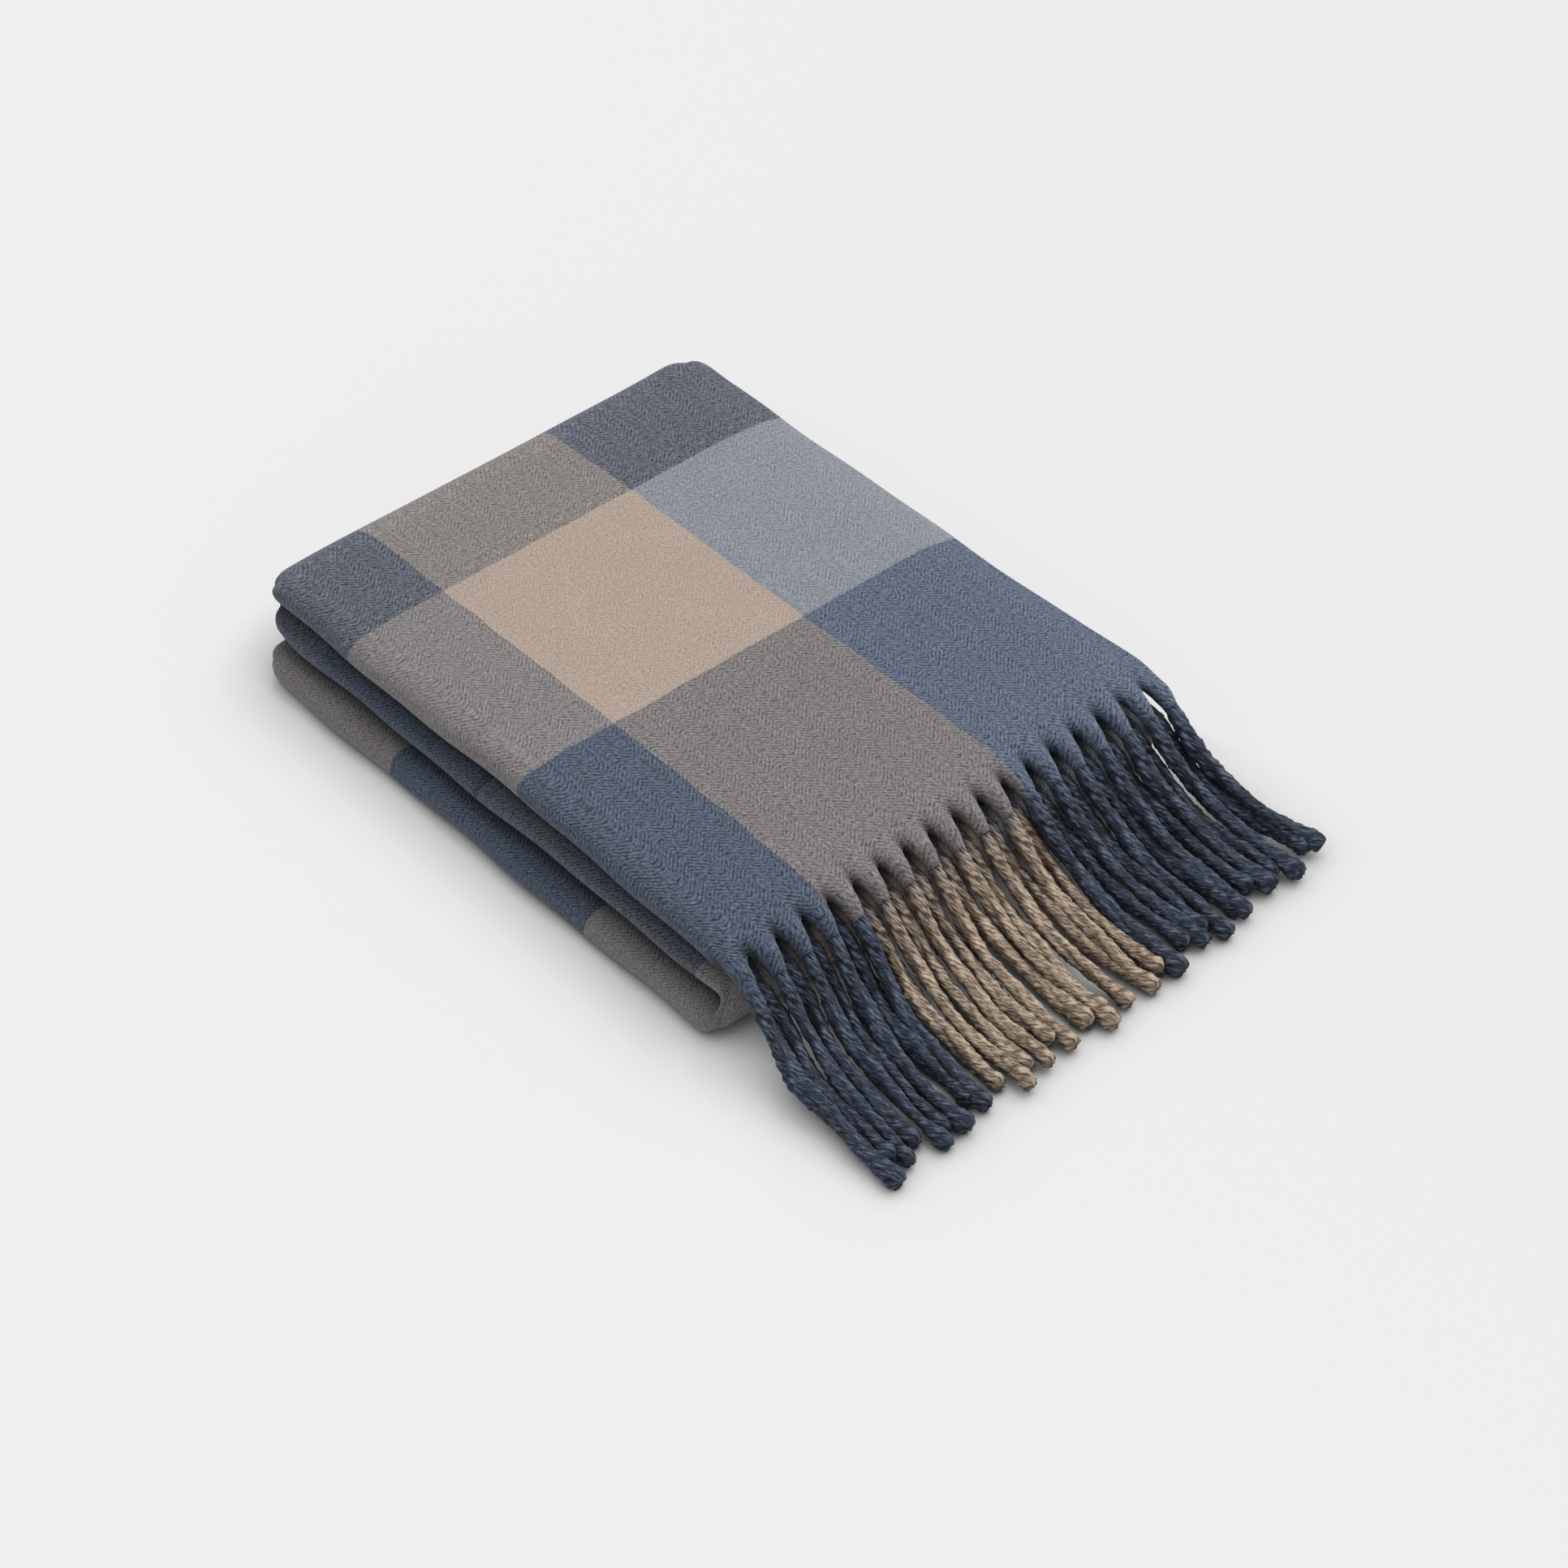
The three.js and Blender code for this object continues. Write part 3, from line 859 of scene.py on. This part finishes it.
def tassel_line(node):
    """A tassel's centre line, and the length along it of each point."""
    centres = node_centres(node)
    if "under" in node:
        centres = np.concatenate([centres[:1] - [UNDER_ROOT_STEP], centres])
    line, along = smooth_line(centres, TASSEL_ROWS)
    leftward = -centres[0, 1]
    more = smooth((leftward - LEFT_SMOOTHING["start"]) / LEFT_SMOOTHING["over"])
    for _ in range(round(BEND_SMOOTHING + LEFT_SMOOTHING["passes"] * more)):
        line[1:-1] = (line[:-2] + 2 * line[1:-1] + line[2:]) / 4
    straight = mix(line[:1], line[-1:], (along / along[-1])[:, None])
    line = mix(line, straight, TAUTNESS["share"] * smooth((leftward - TAUTNESS["start"]) / TAUTNESS["over"]))
    line[:, 2] -= ROOT_SETTLE["drop"] * (1 - smooth(along / ROOT_SETTLE["over"]))
    if "under" in node:
        line[:, 2] -= UNDER_SETTLE["drop"] * (1 - smooth(along / UNDER_SETTLE["over"]))
    return line, along


def frames_along(line):
    """The direction of a line at each point, with a sideways and an upward direction square to it."""
    forward = np.gradient(line, axis=0)
    forward /= np.linalg.norm(forward, axis=1)[:, None]
    side = np.cross([0, 0, 1.0], forward)
    side /= np.linalg.norm(side, axis=1)[:, None]
    return forward, side, np.cross(forward, side)


def sway_line(line, along, random):
    """Makes a tassel's line differ from its neighbours', and more so towards its tip."""
    out = smooth((along / along[-1] - SWAY["start"]) / SWAY["over"])
    sway = np.clip(random.normal(0, 1.0, 4), -SWAY["limit"], SWAY["limit"])
    side_turn = 2 * math.pi * along / (SIDE_CURL["length"] + SIDE_CURL["spread"] * sway[1])
    rise_turn = 2 * math.pi * along / RISE_CURL["length"]
    grown = smooth(along / CURL_OVER)
    line[:, 1] += out * SWAY["size"] * sway[0]
    line[:, 1] += SIDE_CURL["size"] * np.sin(side_turn + SIDE_CURL["phase"] * sway[2]) * grown
    line[:, 2] += RISE_CURL["size"] * np.sin(rise_turn + RISE_CURL["phase"] * sway[3]) * grown


def tassel_object(node, radius, material, random):
    """Twisted yarn that parts into two strands, with a thicker tip and a slightly frayed end."""
    line, along = tassel_line(node)
    length = along[-1]
    radius = radius * random.uniform(*RADIUS_SPREAD)
    sway_line(line, along, random)
    forward, side, up = frames_along(line)
    angle = np.linspace(0, 2 * math.pi, TASSEL_SIDES, endpoint=False)[None, :]
    from_tip = (length - along)[:, None]

    pitch = random.uniform(*TWIST_PITCH)
    phase = random.uniform(0, 2 * math.pi)
    turn = 2 * math.pi * along[:, None] / pitch + phase
    strands = 2 * math.pi * along[:, None] / (STRANDS["pitches"] * pitch) + 2 * phase
    bumps = sum(random.uniform(*BUMP_SHARE) * size
                * np.sin(2 * math.pi * along / wave + random.uniform(0, BUMP_PHASE))
                for wave, size in BUMPS)[:, None]
    lumps = random.normal(0, 1, (TASSEL_ROWS, TASSEL_SIDES))
    lumps = LUMP_SIZE * (lumps + np.roll(lumps, 1, 1) + np.roll(lumps, 1, 0))

    wider = random.uniform(FLARE["least"], FLARE["most"])
    flare = 1 + wider * np.exp(-((from_tip - FLARE["middle"]) / FLARE["over"]) ** 2)
    close = np.sqrt(np.clip(1 - (1 - np.clip(from_tip / TIP_ROUND, 0, 1)) ** 2, TIP_SMALLEST, 1))
    root = ROOT["size"] + ROOT["growth"] * smooth((along - ROOT["start"]) / ROOT["over"])[:, None]
    two = np.cos(2 * (angle - turn))
    three = np.cos(3 * (angle - LOBE_LEAD * turn) + phase)
    lobes = 1 + LOBE_SIZE * two + LOBE_SIZE * three
    apart = smooth((along / length - STRANDS["start"]) / STRANDS["over"])[:, None]
    apart = apart * smooth((from_tip - STRANDS["tip"]) / STRANDS["tip_over"])
    pair = STRANDS["size"] * np.abs(np.cos(angle - strands)) ** STRANDS["power"] - STRANDS["waist"]
    lobes = lobes * (1 + apart * pair)

    r = radius * root * flare * close * lobes * (1 + bumps + lumps)
    ring = np.cos(angle)[..., None] * side[:, None] + np.sin(angle)[..., None] * up[:, None]
    frayed = random.normal(0, FRAY["spread"], (1, TASSEL_SIDES))
    fray = FRAY["length"] * np.exp(-from_tip / FRAY["over"]) * frayed
    points = line[:, None] + r[..., None] * ring + (fray * close)[..., None] * forward[:, None]
    points[..., 2] = np.maximum(points[..., 2], FLOOR_GAP[0] + FLOOR_GAP[1] * np.abs(np.sin(angle * 2)))
    return tube_object(node.replace("tassel", "yarn_tassel"), points, along, radius, material)


def tube_object(name, points, along, radius, material):
    """A closed tube through rings of points, with the way round it and along it as flat coordinates."""
    rows, sides = points.shape[:2]
    wrapped = np.concatenate([points, points[:, :1]], 1)
    around = np.linspace(0, 2 * math.pi * radius, sides + 1)[None, :]
    uvs = np.stack([np.broadcast_to(around, (rows, sides + 1)).ravel(),
                    np.broadcast_to(along[:, None], (rows, sides + 1)).ravel()], 1)
    faces = [[a, d, c, b] for a, b, c, d in grid_faces(rows, sides + 1)]
    count = rows * (sides + 1)
    vertices = np.concatenate([wrapped.reshape(-1, 3), points[:1].mean(1), points[-1:].mean(1)])
    uvs = np.concatenate([uvs, [[0, along[0]], [0, along[-1]]]])
    last = (rows - 1) * (sides + 1)
    faces += [[count, i + 1, i] for i in range(sides)]
    faces += [[count + 1, last + i, last + i + 1] for i in range(sides)]
    obj = make_object(name, vertices, faces, uvs, material)
    weld = obj.modifiers.new("weld", "WELD")
    weld.merge_threshold = TINY
    apply_modifier(obj, weld)
    return obj


# ---- The cloth drawn together at each tassel ----

GATHER_LENGTH = 12.0
GATHER_STEPS = (0, 0.01, 0.03, 0.06, 0.1, 0.15, 0.21, 0.28, 0.36, 0.46, 0.57, 0.7, 0.84, 1)
GATHER_RADIUS = (5.0, 3.2)
ARCH_DEPTH = (16.0, 4.6)    # how soon the cloth is drawn in, in the middle of a tongue and between two
ARCH_POWER = 1.5
GATHER_WRAP = math.radians(310)
GATHER_OVERLAP = 4      # rows of the edge that the gathers start under
GATHER_SINK = 0.14


def gathers_object(grid, columns, nodes, material):
    """The tongue of the uppermost ply that is drawn round the root of each tassel."""
    u = columns.u[0]
    points, uvs, faces = [], [], []
    step = np.array(GATHER_STEPS)[:, None]
    place = np.linspace(-0.5, 0.5, CELL_COLUMNS + 1)[None, :]
    for cell, node in enumerate(nodes):
        index = FIRST_CELL + cell * CELL_COLUMNS + np.arange(CELL_COLUMNS + 1)
        start = np.stack([a[GATHER_OVERLAP:0:-1, index] for a in grid[:3]], 2)
        edge = np.stack([a[0, index] for a in grid[:3]], 1)
        line, along = tassel_line(node)
        reach = step[:, 0] * GATHER_LENGTH
        centre = np.stack([np.interp(reach, along, line[:, k]) for k in range(3)], 1)
        forward, side, up = frames_along(centre)
        radius = mix(*GATHER_RADIUS, smooth(step))
        angle = place * GATHER_WRAP
        tube = centre[:, None] + radius[..., None] * (np.cos(angle)[..., None] * up[:, None]
                                                      - np.sin(angle)[..., None] * side[:, None])
        depth = mix(*ARCH_DEPTH, np.abs(2 * place) ** ARCH_POWER)
        drawn = np.sqrt(1 - (1 - np.clip(step * GATHER_LENGTH / depth, 0, 1)) ** 2)[..., None]
        tongue = mix(edge[None] + (centre - centre[0])[:, None], tube, drawn)
        cell_points = np.concatenate([start, tongue])
        cell_points[:GATHER_OVERLAP + 1, :, 2] -= GATHER_SINK
        first = sum(len(p) for p in points)
        points.append(cell_points.reshape(-1, 3))
        row_count = len(cell_points)
        flat_u = np.broadcast_to(u[index][None], (row_count, CELL_COLUMNS + 1))
        flat_v = np.concatenate([grid[3][GATHER_OVERLAP:0:-1, index],
                                 np.broadcast_to(-reach[:, None], tongue.shape[:2])])
        uvs.append(np.stack([flat_u.ravel(), flat_v.ravel()], 1))
        faces += [[a, d, c, b] for a, b, c, d in grid_faces(row_count, CELL_COLUMNS + 1, first)]
    obj = make_object("fringe_gathers", np.concatenate(points), faces, np.concatenate(uvs), material)
    thicken(obj)
    return obj


# ---- The throw ----

TAN_TASSELS = (-80.0, 40.0)     # the roots of the tan tassels lie between these y
TASSEL_SEED = 7

# The yarns' own colours, and the colours that the crests of their fibres are lightened to: partly lighter
# fibres, partly painted highlight
NAVY = (0.042, 0.054, 0.081)
NAVY_HIGHLIGHT = (0.15, 0.18, 0.24)
TAN = (0.33, 0.255, 0.19)
TAN_HIGHLIGHT = (0.5, 0.41, 0.33)

cloth = cloth_material()
yarns = {
    "navy_yarn": yarn_material("navy_fringe_yarn", NAVY, CELL_COLOURS["navy", "denim"], NAVY_HIGHLIGHT),
    "tan_yarn": yarn_material("tan_fringe_yarn", TAN, CELL_COLOURS["tan", "denim"], TAN_HIGHLIGHT),
}
wide = Columns(UPPER_COLUMNS)
narrow = Columns(OTHER_COLUMNS)

grid = upper_rows(wide)
grid[:3] = gather_edge(wide, *settle(*grid[:3]))
upper_cloth = cloth_object("cloth_fringed_end", grid, wide, cloth)

other = lower_rows(narrow)
other[:3] = settle(*other[:3])
lower_cloth = cloth_object("cloth_plain_end", other, narrow, cloth)

upper_nodes = [f"tassel_upper_{number:02d}" for number in range(TASSELS, 0, -1)]
gathers = gathers_object(grid, wide, upper_nodes, cloth)

random = np.random.default_rng(TASSEL_SEED)
for node in sorted(frame["nodes"]):
    if node.startswith("tassel"):
        slot = "tan_yarn" if TAN_TASSELS[0] < node_centres(node)[0][1] < TAN_TASSELS[1] else "navy_yarn"
        radius = UPPER_RADIUS if "upper" in node else UNDER_RADIUS
        tassel = tassel_object(node, radius, yarns[slot], random)
        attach(tassel, "fringe")
        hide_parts(node)

for obj, first, crease, rise in ((upper_cloth, "top", BACK_CREASE, -1),
                                 (lower_cloth, "bottom", FRONT_CREASE, 1)):
    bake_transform(obj)
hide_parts("top_layer")
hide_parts("middle_layer", "bottom_layer")

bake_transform(gathers)

# ---- The studio, in metres ----

FLOOR_SIZE = 30.0
FLOOR_ALBEDO = 0.34
FLOOR_SPECK = 0.003
FLOOR_PAINTED_GLOW = 0.515          # painted light: the floor glows besides being lit, so that wide shadows on it stay light
FLOOR_SHADE_REACH = 0.05
FLOOR_SHADE_POWER = 1.2
FLOOR_DEEP_REACH = 0.15

SKY_STRENGTH = 0.53
SUN_STRENGTH = 2.77
SUN_WIDTH = math.radians(55)
TOWARDS_SUN = Vector((-0.15, 0.62, 1.0))

AZIMUTH = math.radians(48.765)
ELEVATION = math.radians(42.012)
DISTANCE = 2.4333
TARGET = Vector((0.1029, -0.0352, 0.03))
LENS = 102.5
SENSOR_WIDTH = 36


def floor_material():
    n = Nodes("studio_paper")
    shade = n.uneven(n.add("TexCoord").outputs["Object"], FLOOR_ALBEDO, FLOOR_SPECK, scale=900, detail=2)
    colour = n.vector(shade, shade, shade)
    lit = n.add("BsdfDiffuse", {"Color": colour, "Roughness": 0.6}).outputs[0]
    # Painted shadow: the glow is dimmed where the floor is occluded, next to the cloth and under the tassels.
    shallow = n.math("POWER", n.open_share(FLOOR_SHADE_REACH), FLOOR_SHADE_POWER)
    deep = painted_occlusion_shade(n, FLOOR_DEEP_REACH, darkest=0.15, closed=0.15, clear=0.5)
    painted_glow = n.add("Emission", {"Strength": n.product(shallow, deep, FLOOR_PAINTED_GLOW)}).outputs[0]
    return n.finish(n.add("AddShader", {0: lit, 1: painted_glow}))


bpy.ops.mesh.primitive_plane_add(size=FLOOR_SIZE)
floor = bpy.context.object
floor.name = "studio_floor"
floor.data.materials.append(floor_material())

world = bpy.data.worlds.new("studio")
bpy.context.scene.world = world
world.use_nodes = True
background = next(n for n in world.node_tree.nodes if n.type == "BACKGROUND")
background.inputs["Color"].default_value = (1, 1, 1, 1)
background.inputs["Strength"].default_value = SKY_STRENGTH

sun_data = bpy.data.lights.new("key", "SUN")
sun_data.energy = SUN_STRENGTH
sun_data.angle = SUN_WIDTH
sun = linked("key", sun_data)
sun.rotation_euler = TOWARDS_SUN.to_track_quat("Z", "Y").to_euler()

camera_data = bpy.data.cameras.new("camera")
camera_data.lens = LENS
camera_data.sensor_width = SENSOR_WIDTH
camera = linked("camera", camera_data)
towards_camera = Vector((math.sin(AZIMUTH) * math.cos(ELEVATION), -math.cos(AZIMUTH) * math.cos(ELEVATION),
                         math.sin(ELEVATION)))
camera.location = TARGET + DISTANCE * towards_camera
camera.rotation_euler = towards_camera.to_track_quat("Z", "Y").to_euler()
bpy.context.scene.camera = camera
bpy.context.scene.view_settings.view_transform = "Standard"
